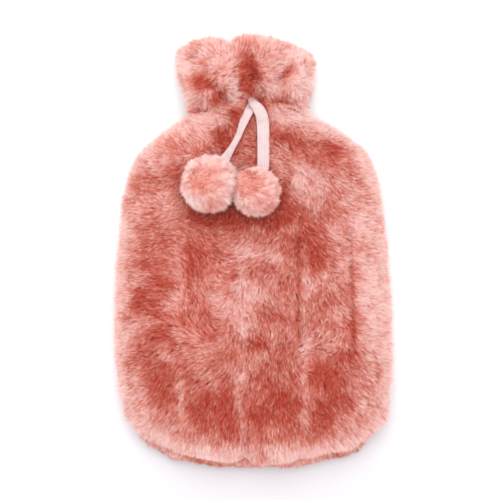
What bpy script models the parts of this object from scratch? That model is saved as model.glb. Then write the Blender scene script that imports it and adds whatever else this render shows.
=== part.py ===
"""A plush cover for a hot water bottle, lying on its back, gathered at the neck under a ruffle.

A front and a back panel of fur fabric make one pouch, open at the ruffle's mouth. The two ends of the
neck's ribbon come out at the middle of the neck and lie on the front, each with a fur pompom.
+Y runs from the bottom edge to the mouth, and +Z is up.
"""

import math
from collections import namedtuple

import bmesh
import bpy
from mathutils import Matrix, Vector, noise
from mathutils.bvhtree import BVHTree

MM = 0.001

# Driving dimensions, in millimetres
SEAM_HEIGHT = 20.0  # of the side and bottom seam above what the cover lies on
SEAM_GAP = 0.3  # between the two panels along the seam
BACK_LIP = 7.6  # how far the back panel shows past the front at the middle of the bottom
LIP_FADE = 0.45  # the part of that lip which is lost at the corners
SEAM_ROLL = 2.2  # how far the seam lies inside the rounded rims of both panels
RIM_BULGE = 1.2  # how far the rims would stand past the sections' edges without it
INNER_PRESS = 0.45  # the part of a fold's depth that shows inside the pouch
TUFT_SIZE = 23.0  # across one soft lump of pile
TUFT_RISE = 1.5  # height of a lump
FRONT_COLUMNS = 32
BACK_COLUMNS = 20
RIBBON_THICK = 1.0
POMPOM_LOCK_ROOTS = 64  # points on a ball's core, which give twice as many locks
LOCK_ROOT = 0.87  # radius of the core as a part of the pompom's
LOCK_GAP = 0.5  # half of the gap between the roots of two locks
CLEARANCE = 0.4  # between two pieces that lie on each other

# The cover's sections from the bottom edge to the mouth, in millimetres. A section is a row across the
# cloth: mid_y is its place at the centre and edge_y at the side seams, left and right are the seams, crown is
# the top of the front, keel the lowest line of the back (a keel under 0 lies flat), wall the cloth with its
# pile, square how boxy the section is, and steps the rows of faces up to the next section.
Section = namedtuple("Section", "where mid_y edge_y left right crown keel wall square steps")
SECTIONS = [
    Section("bottom seam", -172.0, -161.0, -79.5, 82.5, 20.0, 20.0, 11.0, 3.0, 1),
    Section("rim, rising", -170.0, -157.0, -86.0, 89.5, 30.5, 9.0, 11.0, 3.0, 1),
    Section("rim, top", -164.0, -150.0, -94.0, 98.5, 38.5, 2.0, 11.0, 3.0, 2),
    Section("foot", -150.0, -139.0, -102.5, 107.0, 43.5, -1.5, 11.0, 3.0, 3),
    Section("lower body", -124.0, -118.0, -111.0, 113.5, 46.0, -2.5, 11.0, 3.1, 4),
    Section("belly", -80.0, -80.0, -115.8, 115.2, 47.0, -2.5, 11.0, 3.2, 4),
    Section("middle", -38.0, -38.0, -115.0, 114.0, 46.5, -2.5, 11.0, 3.2, 3),
    Section("upper body", -4.0, -4.0, -113.0, 111.6, 45.5, -2.5, 11.0, 3.2, 4),
    Section("chest", 32.0, 34.0, -109.1, 107.5, 44.0, -2.5, 11.0, 3.1, 3),
    Section("shoulder", 60.0, 63.0, -103.7, 102.3, 43.0, -2.5, 11.0, 3.0, 3),
    Section("shoulder turn", 83.0, 84.5, -90.2, 89.7, 42.5, -2.0, 11.0, 2.9, 2),
    Section("under the neck", 100.0, 101.0, -69.5, 66.0, 42.0, -0.5, 10.5, 2.8, 2),
    Section("neck", 113.0, 112.5, -54.0, 46.5, 40.5, 2.0, 9.0, 2.6, 1),
    Section("tie", 121.0, 119.5, -54.6, 44.6, 40.0, 3.0, 8.5, 2.5, 2),
    Section("ruffle root", 131.0, 129.5, -58.0, 47.5, 45.0, 1.5, 9.0, 2.5, 3),
    Section("ruffle", 144.0, 141.5, -60.4, 49.4, 49.0, -1.5, 10.5, 2.5, 3),
    Section("ruffle top", 158.0, 152.5, -63.8, 50.5, 49.0, -1.5, 10.0, 2.5, 2),
    Section("ruffle lip", 170.5, 161.5, -62.0, 45.0, 44.0, 0.0, 9.0, 2.4, 2),
    Section("mouth", 177.2, 167.5, -55.0, 36.0, 35.0, 8.0, 7.0, 2.3, 0),
]

# Folds and hollows pressed into each panel: a soft trough from start to end, in millimetres
Fold = namedtuple("Fold", "what start end half_width depth")
FRONT_FOLDS = [
    Fold("centre gather", (-4.6, 154.0), (-4.6, 139.0), 7.5, 11.0),
    Fold("centre gather, foot", (-4.0, 137.0), (-2.5, 127.0), 6.0, 3.0),
    Fold("ribbon exit", (-5.0, 126.0), (2.0, 124.0), 7.0, 7.5),
    Fold("slit left of the tie", (-31.7, 131.5), (-23.8, 120.0), 4.5, 6.0),
    Fold("hollow in the ruffle's left", (-47.0, 142.0), (-43.0, 140.0), 8.0, 3.5),
    Fold("neck fold, left", (-50.0, 114.5), (-38.0, 114.5), 4.5, 4.0),
    Fold("curl in the ruffle's right", (31.7, 150.0), (22.7, 141.0), 5.5, 4.0),
    Fold("neck fold, right", (20.0, 121.0), (35.0, 116.0), 5.0, 4.5),
    Fold("crease between the ribbons", (-3.0, 107.0), (1.5, 95.0), 4.0, 3.0),
    Fold("crease left of the ribbons", (-17.0, 105.5), (-24.0, 89.6), 5.0, 4.0),
    Fold("crease right of the ribbons", (14.0, 102.3), (26.0, 97.5), 5.5, 3.5),
    Fold("hollow under the left pompom", (-37.0, 52.0), (-35.0, 50.0), 20.0, 3.5),
    Fold("hollow under the right pompom", (4.5, 45.0), (5.5, 43.0), 17.0, 3.0),
]
BACK_FOLDS = [
    Fold("centre pleat", (-2.0, 168.0), (-3.0, 112.0), 5.5, 6.0),
    Fold("centre pleat, foot", (-3.0, 112.0), (-4.0, 84.0), 6.0, 2.5),
    Fold("left pleat", (-35.0, 160.0), (-29.0, 112.0), 5.0, 5.0),
    Fold("left pleat, foot", (-29.0, 112.0), (-38.0, 88.0), 6.0, 2.5),
    Fold("right pleat", (27.0, 158.0), (21.0, 112.0), 5.0, 5.0),
    Fold("right pleat, foot", (21.0, 112.0), (31.0, 88.0), 6.0, 2.5),
]

# Dips between the lumps of the ruffle's top edge: at x, in millimetres
Dip = namedtuple("Dip", "at_x half_width depth")
RUFFLE_DIPS = [Dip(-22.0, 8.0, 6.5), Dip(-50.0, 6.0, 2.0), Dip(26.0, 8.0, 2.5), Dip(41.0, 6.0, 2.5)]
DIP_REACH = 16.0  # how far down from the mouth a dip pulls the cloth

# Each ribbon end's route on the front, root to pompom: the middle of the ribbon, its width and its roll about
# the route, in millimetres and degrees
RibbonStation = namedtuple("RibbonStation", "x y z width roll")
RIBBON_LEFT = [
    RibbonStation(1.2, 124.4, 38.4, 8.0, 0),
    RibbonStation(-1.2, 119.0, 40.9, 8.0, 8),
    RibbonStation(-3.4, 113.6, 42.6, 7.6, 12),
    RibbonStation(-5.8, 108.5, 43.6, 7.4, 18),
    RibbonStation(-8.3, 103.5, 44.6, 7.4, 20),
    RibbonStation(-10.4, 98.0, 45.0, 6.4, 20),
    RibbonStation(-12.9, 91.5, 44.8, 5.6, 15),
    RibbonStation(-16.4, 85.0, 44.4, 5.4, 0),
    RibbonStation(-19.8, 79.2, 45.0, 6.4, 0),
    RibbonStation(-22.6, 74.7, 47.4, 8.0, 0),
    RibbonStation(-25.0, 70.8, 50.8, 9.0, 0),
]
RIBBON_RIGHT = [
    RibbonStation(-5.6, 126.0, 39.4, 8.0, 0),
    RibbonStation(-3.2, 122.8, 41.8, 8.2, 0),
    RibbonStation(-0.2, 119.6, 43.8, 8.6, 0),
    RibbonStation(3.4, 115.4, 44.9, 9.4, 0),
    RibbonStation(6.2, 110.0, 44.3, 10.0, 0),
    RibbonStation(7.5, 103.0, 43.0, 10.2, 0),
    RibbonStation(7.9, 95.0, 43.4, 10.2, 0),
    RibbonStation(8.0, 86.0, 44.0, 10.2, 0),
    RibbonStation(8.0, 77.0, 44.6, 10.2, 0),
    RibbonStation(7.9, 70.4, 47.0, 10.0, 0),
    RibbonStation(7.6, 64.6, 51.4, 9.4, 0),
]

# The pompoms: centre in plan and radius, in millimetres, and which way their locks are brushed
Pompom = namedtuple("Pompom", "name x y radius brushed")
POMPOMS = [
    Pompom("pompom_left", -36.9, 52.6, 23.6, (0.12, 0.06, 0.0)),
    Pompom("pompom_right", 4.7, 46.4, 20.4, (-0.05, -0.12, 0.0)),
]
POMPOM_SINK = 0.16  # how deep a ball sits in the pile, as a part of its radius

# name: base colour, roughness
FUR_ROSE = ("rose_fur", (0.62, 0.19, 0.14), 0.85)
FUR_PALE = ("pale_fur", (0.80, 0.38, 0.30), 0.85)
SATIN = ("pale_satin", (0.86, 0.72, 0.72), 0.4)


def smooth_column(rows, column, t):
    """The value of a table's column at t rows from its first row, on a smooth curve through the rows."""
    last = len(rows) - 1
    i = min(int(t), last - 1)
    f = t - i
    a, b, c, d = (getattr(rows[min(max(k, 0), last)], column) for k in range(i - 1, i + 3))
    return b + 0.5 * f * (c - a + f * (2 * a - 5 * b + 4 * c - d + f * (3 * (b - c) + d - a)))


def section_at(t):
    columns = ("mid_y", "edge_y", "left", "right", "crown", "keel", "wall", "square")
    return Section("between", *(smooth_column(SECTIONS, name, t) for name in columns), 0)


def trough(folds, x, y):
    """The depth that the folds press into the cloth at x, y. Where folds meet they don't add up."""
    depth_squared = 0.0
    here = Vector((x, y))
    for fold in folds:
        start, end = Vector(fold.start), Vector(fold.end)
        run = end - start
        along = min(max((here - start).dot(run) / run.length_squared, 0.0), 1.0)
        away = (here - start - run * along).length
        depth_squared += (fold.depth * math.exp(-((away / fold.half_width) ** 2))) ** 2
    return math.sqrt(depth_squared)


def mouth_dip(x, y):
    """How far the ruffle's scalloped top edge is pulled down at x, y."""
    reach = min(max((y - SECTIONS[-1].mid_y + DIP_REACH) / DIP_REACH, 0.0), 1.0)
    return reach * sum(dip.depth * math.exp(-(((x - dip.at_x) / dip.half_width) ** 2)) for dip in RUFFLE_DIPS)


def bottom_shift(y, shift):
    """Moves the bottom rows up by shift, or down where it is negative, and fades out up the body."""
    fade_length = 4 * abs(shift)
    fade = 1 - min((y - SECTIONS[0].mid_y) / fade_length, 1.0)
    return y + shift * fade * fade


def panel_point(side, across, t, inner):
    """A point of a panel, in millimetres: side is 1 for the front and -1 for the back, across runs from -1 at
    the left seam to 1 at the right one, and t is the section. inner is the pouch's side of the cloth."""
    row = section_at(t)
    middle, half = (row.left + row.right) / 2, (row.right - row.left) / 2
    bow = (row.edge_y - row.mid_y) * abs(across) ** 3
    rise = (row.crown - SEAM_HEIGHT) if side > 0 else (SEAM_HEIGHT - row.keel)
    y = row.mid_y
    if inner:
        half -= row.wall
        rise = max(rise - row.wall, 0.0)
        y = bottom_shift(y, row.wall)
    else:
        lip = BACK_LIP * (1 - LIP_FADE * abs(across) ** 3) if side < 0 else 0.0
        half += RIM_BULGE
        y = bottom_shift(y, -RIM_BULGE - lip)
    x = middle + half * across
    y += bow
    y -= mouth_dip(x, y)
    arch = (1 - abs(across) ** row.square) ** (1 / row.square)
    folds = FRONT_FOLDS if side > 0 else BACK_FOLDS
    press = trough(folds, x, y) * (INNER_PRESS if inner else 1.0)
    lift = max(rise * arch - press * min(2 * arch, 1.0), 0.0)
    return Vector((x, y, SEAM_HEIGHT + side * (SEAM_GAP / 2 + lift)))


def blank(columns, row_places):
    """A flat slab of cloth, one unit thick, with its faces in columns and rows: x runs from -1 to 1, y takes
    the row places, and z is 0 on the outer face and -1 on the inner one."""
    bm = bmesh.new()
    bmesh.ops.create_grid(bm, x_segments=columns, y_segments=len(row_places) - 1, size=1.0)
    for vert in bm.verts:
        row = round((vert.co.y + 1) / 2 * (len(row_places) - 1))
        vert.co.y = row_places[row]
    moved = bmesh.ops.extrude_face_region(bm, geom=bm.faces[:])["geom"]
    bmesh.ops.translate(bm, vec=(0, 0, -1), verts=[v for v in moved if isinstance(v, bmesh.types.BMVert)])
    bmesh.ops.recalc_face_normals(bm, faces=bm.faces[:])
    return bm


def even_columns(across):
    """Spreads the columns so that they crowd towards the rounded sides."""
    return 0.8 * math.sin(across * math.pi / 2) + 0.2 * across


def tuft(place):
    """The soft lumps of the pile: how far they stand out at a place in millimetres."""
    return TUFT_RISE * noise.noise(place / TUFT_SIZE)


def fur_panel(name, side, columns, material, collection):
    row_places = [i + k / row.steps for i, row in enumerate(SECTIONS[:-1]) for k in range(row.steps)]
    row_places.append(len(SECTIONS) - 1)
    bm = blank(columns, row_places)
    outer = [v for v in bm.verts if v.co.z > -0.5]
    on_seam = {v for v in outer if abs(v.co.x) > 0.999 or v.co.y < 0.001}
    for vert in bm.verts:
        inner = vert.co.z < -0.5
        vert.co = panel_point(side, even_columns(vert.co.x), vert.co.y, inner)
    if side < 0:  # the blank was bent over backwards
        bmesh.ops.reverse_faces(bm, faces=bm.faces[:])
    bm.normal_update()
    moves = {}
    for vert in outer:
        way = Vector((vert.normal.x, vert.normal.y, 0)).normalized() if vert in on_seam else vert.normal
        moves[vert] = way * (tuft(vert.co + Vector((0, 0, 100 * side))) - (SEAM_ROLL if vert in on_seam else 0))
    for vert, move in moves.items():
        vert.co += move
        if vert not in on_seam:
            vert.co.z = max(vert.co.z, 0.0) if side < 0 else max(vert.co.z, SEAM_HEIGHT + SEAM_GAP)
    return finish(bm, name, material, collection)


def ribbon_end(name, stations, material, collection):
    """A ribbon end: a flat strip bent along its stations."""
    steps = 2 * (len(stations) - 1)
    bm = blank(2, [k / 2 for k in range(steps + 1)])
    for vert in bm.verts:
        t = vert.co.y
        centre = Vector([smooth_column(stations, axis, t) for axis in "xyz"])
        ahead = Vector([smooth_column(stations, axis, min(t + 0.05, len(stations) - 1)) for axis in "xyz"])
        behind = Vector([smooth_column(stations, axis, max(t - 0.05, 0)) for axis in "xyz"])
        along = (ahead - behind).normalized()
        roll = Matrix.Rotation(math.radians(smooth_column(stations, "roll", t)), 3, along)
        side_way = roll @ along.cross(Vector((0, 0, 1))).normalized()
        face_way = side_way.cross(along)
        half_width = smooth_column(stations, "width", t) / 2
        vert.co = centre + side_way * vert.co.x * half_width + face_way * (vert.co.z + 0.5) * RIBBON_THICK
    return finish(bm, name, material, collection)


def ball_points(count):
    """Even points on a unit ball, along a spiral."""
    golden = math.pi * (3 - math.sqrt(5))
    for k in range(count):
        z = 1 - (2 * k + 1) / count
        ring = math.sqrt(1 - z * z)
        yield Vector((ring * math.cos(golden * k), ring * math.sin(golden * k), z))


def pompom(spec, other, front_tree, material, collection):
    """A fur ball: a core whose every face carries one tapering lock. It lies on the front panel and against
    the other pompom, where its locks are pressed flat."""
    under = front_tree.ray_cast(Vector((spec.x, spec.y, 100)) * MM, Vector((0, 0, -1)))[0].z / MM
    centre = Vector((spec.x, spec.y, under + spec.radius * (1 - POMPOM_SINK)))
    bm = bmesh.new()
    for point in ball_points(POMPOM_LOCK_ROOTS):
        bm.verts.new(point * spec.radius * LOCK_ROOT)
    bmesh.ops.convex_hull(bm, input=bm.verts[:])
    roots = bm.faces[:]
    bmesh.ops.inset_individual(bm, faces=roots, thickness=LOCK_GAP)
    tips = bmesh.ops.poke(bm, faces=roots)["verts"]
    for k, tip in enumerate(tips):
        way = (tip.co.normalized() + Vector(spec.brushed)).normalized()
        tip.co = way * spec.radius * (1 - 0.05 * math.sin(2.4 * k) ** 2)
    apart = Vector((other.x - spec.x, other.y - spec.y, 0))
    share = apart.length * spec.radius / (spec.radius + other.radius) - CLEARANCE / 2
    apart.normalize()
    for vert in bm.verts:
        beyond = vert.co.dot(apart) - share
        if beyond > 0:
            vert.co -= apart * beyond
        vert.co += centre
        floor = front_tree.ray_cast(Vector((vert.co.x, vert.co.y, 100)) * MM, Vector((0, 0, -1)))[0]
        vert.co.z = max(vert.co.z, floor.z / MM + CLEARANCE)
    bmesh.ops.recalc_face_normals(bm, faces=bm.faces[:])
    return finish(bm, spec.name, material, collection)


def finish(bm, name, material, collection):
    """Makes the object from a bmesh in millimetres."""
    bmesh.ops.scale(bm, vec=(MM, MM, MM), verts=bm.verts[:])
    bmesh.ops.triangulate(bm, faces=bm.faces[:])
    mesh = bpy.data.meshes.new(name)
    bm.to_mesh(mesh)
    bm.free()
    mesh.shade_smooth()
    piece = bpy.data.objects.new(name, mesh)
    piece.data.materials.append(material)
    collection.objects.link(piece)
    return piece


def principled(name, colour, roughness):
    material = bpy.data.materials.new(name)
    material.use_nodes = True
    shader = material.node_tree.nodes["Principled BSDF"]
    shader.inputs["Base Color"].default_value = (*colour, 1)
    shader.inputs["Roughness"].default_value = roughness
    shader.inputs["Metallic"].default_value = 0.0
    return material


def main():
    for piece in list(bpy.data.objects):
        bpy.data.objects.remove(piece)
    collection = bpy.data.collections.new("hot_water_bottle_cover")
    bpy.context.scene.collection.children.link(collection)
    rose, pale, satin = (principled(*finish_of) for finish_of in (FUR_ROSE, FUR_PALE, SATIN))
    fur_panel("back_panel", -1, BACK_COLUMNS, rose, collection)
    front = fur_panel("front_panel", 1, FRONT_COLUMNS, rose, collection)
    front_tree = BVHTree.FromPolygons(
        [v.co for v in front.data.vertices], [p.vertices for p in front.data.polygons])
    ribbon_end("ribbon_left", RIBBON_LEFT, satin, collection)
    ribbon_end("ribbon_right", RIBBON_RIGHT, satin, collection)
    left, right = POMPOMS
    pompom(left, right, front_tree, pale, collection)
    pompom(right, left, front_tree, pale, collection)


main()
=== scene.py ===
"""A plush cover for a hot water bottle, lying on a white table and seen from straight above.

The cover rests on its back with its mouth towards +Y. Every size is in metres.
"""

import math
from collections import namedtuple

import bmesh
import bpy
import numpy as np
from mathutils import Matrix, Vector
from mathutils.bvhtree import BVHTree


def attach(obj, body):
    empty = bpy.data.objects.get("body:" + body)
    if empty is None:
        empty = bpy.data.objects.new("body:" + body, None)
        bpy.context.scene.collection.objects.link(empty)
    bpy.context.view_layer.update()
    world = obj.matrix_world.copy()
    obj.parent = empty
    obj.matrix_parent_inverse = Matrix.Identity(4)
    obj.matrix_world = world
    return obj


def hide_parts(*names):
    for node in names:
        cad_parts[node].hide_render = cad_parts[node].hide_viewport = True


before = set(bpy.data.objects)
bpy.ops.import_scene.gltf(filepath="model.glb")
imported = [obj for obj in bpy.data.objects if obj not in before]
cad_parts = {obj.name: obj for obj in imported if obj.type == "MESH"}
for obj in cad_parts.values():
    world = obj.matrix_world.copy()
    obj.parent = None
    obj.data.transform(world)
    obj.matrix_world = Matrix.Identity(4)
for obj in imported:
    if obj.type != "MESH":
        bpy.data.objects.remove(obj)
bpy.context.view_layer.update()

# ---- The camera ----
# It hangs straight over the cover, a long lens with little perspective, as in a shop's photograph.
CAMERA_PLACE = (-0.0029, -0.0008, 1.5)
PICTURE_WIDTH = 0.415  # what the picture takes in at PICTURE_HEIGHT above the table
PICTURE_HEIGHT = 0.02
camera = bpy.data.objects.new("camera", bpy.data.cameras.new("camera"))
camera.location = CAMERA_PLACE
camera.data.lens = camera.data.sensor_width * (CAMERA_PLACE[2] - PICTURE_HEIGHT) / PICTURE_WIDTH
bpy.context.scene.collection.objects.link(camera)
bpy.context.scene.camera = camera

# ---- The two ribbon ends ----
# One narrow satin ribbon runs round inside the neck, and its two ends come out at the middle of the front.
# It is woven with a fine lengthwise rib and firmer edges, and its colour carries painted sheen in bands along the
# rib and painted shade at the edges. The left end is folded in half along its length.
RIBBON_WIDTH = 0.0100
RIBBON_THICK = 0.0004
FOLD_DROP = 0.0009  # how far the folded half lies below the other
FOLD_TURN = 0.0006  # the cloth that the fold takes up
RIBBON_STEPS = 6  # rows of faces from one station to the next
RIBBON_COLUMNS = 16
RIBBON_WAVES = [(0.00022, 3.1, 2.0), (0.00015, 7.3, -1.4)]  # height, and radians to a station and to half the width
# The rib also paints bands of sheen into the colour
RIBBON_RIBS_AND_SHEEN = 7  # across the width
RIBBON_PICKS = 190  # along the length
SELVEDGE = (0.84, 0.92)  # where the firm edge starts and is full, as parts of half the width
# The satin's colour in painted shade and in painted sheen
RIBBON_SHADED = (0.40, 0.23, 0.23, 1)
RIBBON_SHEEN = (0.745, 0.595, 0.60, 1)

# Where each end runs: its middle, the width that shows and its roll in degrees
Station = namedtuple("Station", "x y z width roll")
LEFT_ROUTE = [
    Station(0.0012, 0.1244, 0.0310, 0.0050, 0),
    Station(-0.0012, 0.1190, 0.0372, 0.0066, 8),
    Station(-0.0034, 0.1136, 0.0426, 0.0076, 12),
    Station(-0.0058, 0.1085, 0.0436, 0.0074, 18),
    Station(-0.0083, 0.1035, 0.0446, 0.0074, 20),
    Station(-0.0104, 0.0980, 0.0450, 0.0064, 20),
    Station(-0.0129, 0.0915, 0.0448, 0.0056, 15),
    Station(-0.0164, 0.0850, 0.0444, 0.0054, 0),
    Station(-0.0198, 0.0792, 0.0450, 0.0064, 0),
    Station(-0.0226, 0.0747, 0.0474, 0.0080, 0),
    Station(-0.0250, 0.0708, 0.0508, 0.0090, 0),
]
RIGHT_ROUTE = [
    Station(-0.0040, 0.1258, 0.0280, 0.0030, 0),
    Station(-0.0030, 0.1232, 0.0346, 0.0038, 0),
    Station(-0.0008, 0.1198, 0.0428, 0.0064, 0),
    Station(0.0032, 0.1152, 0.0449, 0.0088, 0),
    Station(0.0062, 0.1100, 0.0443, 0.0100, 0),
    Station(0.0075, 0.1030, 0.0430, 0.0102, 0),
    Station(0.0079, 0.0950, 0.0434, 0.0102, 0),
    Station(0.0080, 0.0860, 0.0440, 0.0102, 0),
    Station(0.0080, 0.0770, 0.0446, 0.0102, 0),
    Station(0.0079, 0.0704, 0.0470, 0.0100, 0),
    Station(0.0076, 0.0646, 0.0514, 0.0094, 0),
]


class Reading:
    """A number or colour that changes over a surface. Arithmetic on it adds Math nodes to the material."""

    def __init__(self, tree, socket=None):
        self.tree, self.socket = tree, socket

    def node(self, kind, settings=(), out=0, **links):
        """Any other node: its type, its settings, which output is wanted, and its sockets' values or links.
        A socket is named with underscores for spaces, or numbered as s0, s1 and so on."""
        made = self.tree.nodes.new(kind)
        for name, value in dict(settings).items():
            if name == "stops":
                while len(made.color_ramp.elements) < len(value):
                    made.color_ramp.elements.new(1.0)
                for stop, (place, colour) in zip(made.color_ramp.elements, value):
                    stop.position, stop.color = place, (*colour, 1)
            else:
                setattr(made, name, value)
        for name, value in links.items():
            numbered = name[0] == "s" and name[1:].isdigit()
            socket = made.inputs[int(name[1:]) if numbered else name.replace("_", " ")]
            if isinstance(value, Reading):
                self.tree.links.new(value.socket, socket)
            else:
                socket.default_value = value
        return Reading(self.tree, made.outputs[out])

    def other_output(self, out):
        """Another output of the node that this comes from."""
        return Reading(self.tree, self.socket.node.outputs[out])

    def maths(self, operation, *values):
        return self.node("ShaderNodeMath", {"operation": operation}, **{f"s{i}": v for i, v in enumerate(values)})

    def __add__(self, other):
        return self.maths("ADD", self, other)

    def __radd__(self, other):
        return self.maths("ADD", other, self)

    def __sub__(self, other):
        return self.maths("SUBTRACT", self, other)

    def __rsub__(self, other):
        return self.maths("SUBTRACT", other, self)

    def __mul__(self, other):
        return self.maths("MULTIPLY", self, other)

    def __rmul__(self, other):
        return self.maths("MULTIPLY", other, self)

    def rise(self, start, full):
        """A soft step from 0 at start to 1 at full."""
        return self.node("ShaderNodeMapRange", {"interpolation_type": "SMOOTHSTEP"}, s0=self, s1=start, s2=full)

    def blend(self, low, high):
        """A colour from low to high as this goes from 0 to 1."""
        return self.node("ShaderNodeMix", {"data_type": "RGBA"}, out=2, s0=self, s6=low, s7=high)


def new_finish(name, **settings):
    """A material whose shader has these settings, with underscores for spaces, and a reading to build on."""
    made = bpy.data.materials.new(name)
    made.use_nodes = True
    shader = made.node_tree.nodes["Principled BSDF"]
    for key, value in settings.items():
        shader.inputs[key.replace("_", " ")].default_value = value
    return made, Reading(made.node_tree), shader


def feed(reading, shader, socket):
    shader.id_data.links.new(reading.socket, shader.inputs[socket])


def on_route(route, column, t):
    """The value of a route's column at t stations from its start, on a smooth curve."""
    last = len(route) - 1
    i = min(int(t), last - 1)
    f = t - i
    a, b, c, d = (getattr(route[min(max(k, 0), last)], column) for k in range(i - 1, i + 3))
    return b + 0.5 * f * (c - a + f * (2 * a - 5 * b + 4 * c - d + f * (3 * (b - c) + d - a)))


def ribbon_frame(route, t):
    """The ribbon's middle and its sideways and upward directions at t stations from its start."""
    last = len(route) - 1
    middle, ahead, behind = (
        Vector([on_route(route, axis, k) for axis in "xyz"])
        for k in (t, min(t + 0.05, last), max(t - 0.05, 0)))
    along = (ahead - behind).normalized()
    roll = Matrix.Rotation(math.radians(on_route(route, "roll", t)), 3, along)
    sideways = (roll @ along.cross(Vector((0, 0, 1)))).normalized()
    return middle, sideways, sideways.cross(along)


def middle_line(route, steps):
    """The middle of a ribbon from end to end, so many steps to a station."""
    return [ribbon_frame(route, k / steps)[0] for k in range(steps * (len(route) - 1) + 1)]


def smooth_mesh(name, bm):
    """The mesh of a bmesh, which is freed."""
    mesh = bpy.data.meshes.new(name)
    bm.to_mesh(mesh)
    bm.free()
    mesh.shade_smooth()
    return mesh


def new_piece(name, mesh, finish):
    """A mesh in one finish, put in the scene."""
    mesh.materials.append(finish)
    piece = bpy.data.objects.new(name, mesh)
    bpy.context.scene.collection.objects.link(piece)
    return piece


def give_thickness(piece, thick):
    """Makes a sheet's cloth this thick, on its inner side."""
    wall = piece.modifiers.new("thickness", "SOLIDIFY")
    wall.thickness, wall.offset = thick, -1


def ribbon_end(name, route, cup, folded):
    """A ribbon end along its route: a strip of the ribbon's real width. Where the route is narrower the rest
    of the width is turned under, on the right for a folded ribbon, and cup bows the strip across."""
    stations = len(route) - 1
    bm = bmesh.new()
    bmesh.ops.create_grid(
        bm, x_segments=RIBBON_COLUMNS, y_segments=RIBBON_STEPS * stations, size=1.0, calc_uvs=True)
    uv = bm.loops.layers.uv.verify()
    for face in bm.faces:
        for loop in face.loops:
            loop[uv].uv = ((loop.vert.co.x + 1) / 2, (loop.vert.co.y + 1) / 2)
    for vert in bm.verts:
        across, t = vert.co.x, (vert.co.y + 1) / 2 * stations
        middle, sideways, up = ribbon_frame(route, t)
        width = on_route(route, "width", t)
        turned = max(RIBBON_WIDTH - width, 0.0) if folded else 0.0
        from_left = (across + 1) / 2 * (width + turned)  # along the cloth
        under = max(from_left - width, 0.0)
        x = min(from_left, width) - under - width / 2
        z = cup * (1 - (2 * x / width) ** 2) - (FOLD_DROP * min(under / FOLD_TURN, 1.0))
        z += sum(high * math.sin(t * lengthwise + across * sidewise) for high, lengthwise, sidewise in RIBBON_WAVES)
        vert.co = middle + sideways * x + up * z
    mesh = smooth_mesh(name, bm)
    mesh.uv_layers[0].name = "OFBake"
    piece = new_piece(name, mesh, satin)
    give_thickness(piece, RIBBON_THICK)
    return piece


satin, weave, satin_shader = new_finish(
    "pale_satin", Roughness=0.34, Specular_IOR_Level=0.45, Sheen_Weight=0.25, Sheen_Roughness=0.4)
across_cloth = weave.node("ShaderNodeSeparateXYZ", s0=weave.node("ShaderNodeUVMap", {"uv_map": "OFBake"}))
along_cloth = across_cloth.other_output(1)
# The rib and the weave make the bump. In the colour, the rib gives painted sheen bands, and the firmer edges are
# painted darker, which is painted shade
ribs_and_sheen = weave.maths("SINE", across_cloth * (RIBBON_RIBS_AND_SHEEN * 2 * math.pi))
picks = weave.maths("SINE", along_cloth * (2 * math.pi * RIBBON_PICKS))
selvedge_and_edge_shade = (weave.maths("ABSOLUTE", across_cloth - 0.5) * 2.0).rise(*SELVEDGE)
weave_and_sheen = ribs_and_sheen * 0.5 + picks * 0.25
feed((weave_and_sheen * 0.40 + 0.56 - selvedge_and_edge_shade * 0.20).blend(RIBBON_SHADED, RIBBON_SHEEN), satin_shader, "Base Color")
feed(weave.node("ShaderNodeBump", Strength=0.35, Distance=0.0002, Height=weave_and_sheen + selvedge_and_edge_shade * 0.8),
     satin_shader, "Normal")

ribbon_left = ribbon_end("satin_ribbon_left", LEFT_ROUTE, 0.0004, True)
ribbon_right = ribbon_end("satin_ribbon_right", RIGHT_ROUTE, 0.0006, False)

# ---- The pompoms ----
# A ball of paler fur is sewn on each ribbon end: fur fabric gathered round a stuffing, so its pile stands out
# all round. It parts at one spot, the whorl, and sweeps away from it over the ball.
# The deep patches on a ball's underside, towards the foot, are painted shade
Shade = namedtuple("Shade", "towards reach tone")  # a paler or deeper patch, seen from the ball's middle
Pompom = namedtuple("Pompom", "node x y z radius tufts seed whorl twist shades")
POMPOMS = [
    Pompom("pompom_left", -0.0359, 0.0526, 0.0602, 0.0216, 1700, 11, (-0.30, 0.20, 0.93), 0.20, [
        Shade((-0.62, -0.70, 0.36), 0.42, 0.34),
        Shade((-0.70, 0.45, 0.55), 0.45, 0.20),
        Shade((0.80, 0.10, 0.58), 0.35, 0.14),
        # painted shade on the ball's underside
        Shade((0.05, -0.94, 0.34), 0.42, -0.36),
    ]),
    Pompom("pompom_right", 0.0013, 0.0465, 0.0590, 0.0184, 1300, 12, (-0.25, 0.42, 0.87), 0.75, [
        Shade((0.16, -0.46, 0.87), 0.14, -0.40),
        Shade((-0.20, 0.55, 0.80), 0.35, 0.22),
        # painted shade on the ball's underside
        Shade((0.60, -0.70, 0.38), 0.45, -0.44),
        Shade((0.90, 0.10, 0.42), 0.35, -0.26),
    ]),
]
POMPOM_CORE = 0.56  # the gathered cloth's radius as a part of the ball's

# The ball's unevenness: sizes are on a ball of radius 1
DENT_SIZE, DENT_DEPTH = 0.55, 0.04  # the depth as a part of the radius
RUFFLED_SIZE, RUFFLED = 0.8, 0.25  # how far the pile strays from its sweep
STREAK_SIZE, STREAK_DEPTH, STREAK_TONE = 0.13, 0.0008, 0.22
BALL_TONE = 0.50  # at the whorl, where one looks between the strands
PALER_ROUND = 0.22  # how much paler it gets away from there
BALL_MOTTLE_SIZE, BALL_MOTTLE = 0.40, 0.12
BALL_RIM = (-0.75, 0.55)  # where the pile starts to stand up more, away from the whorl, and over what run
BALL_UPTURN = 0.3  # how far its shading is turned to the sky

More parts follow.
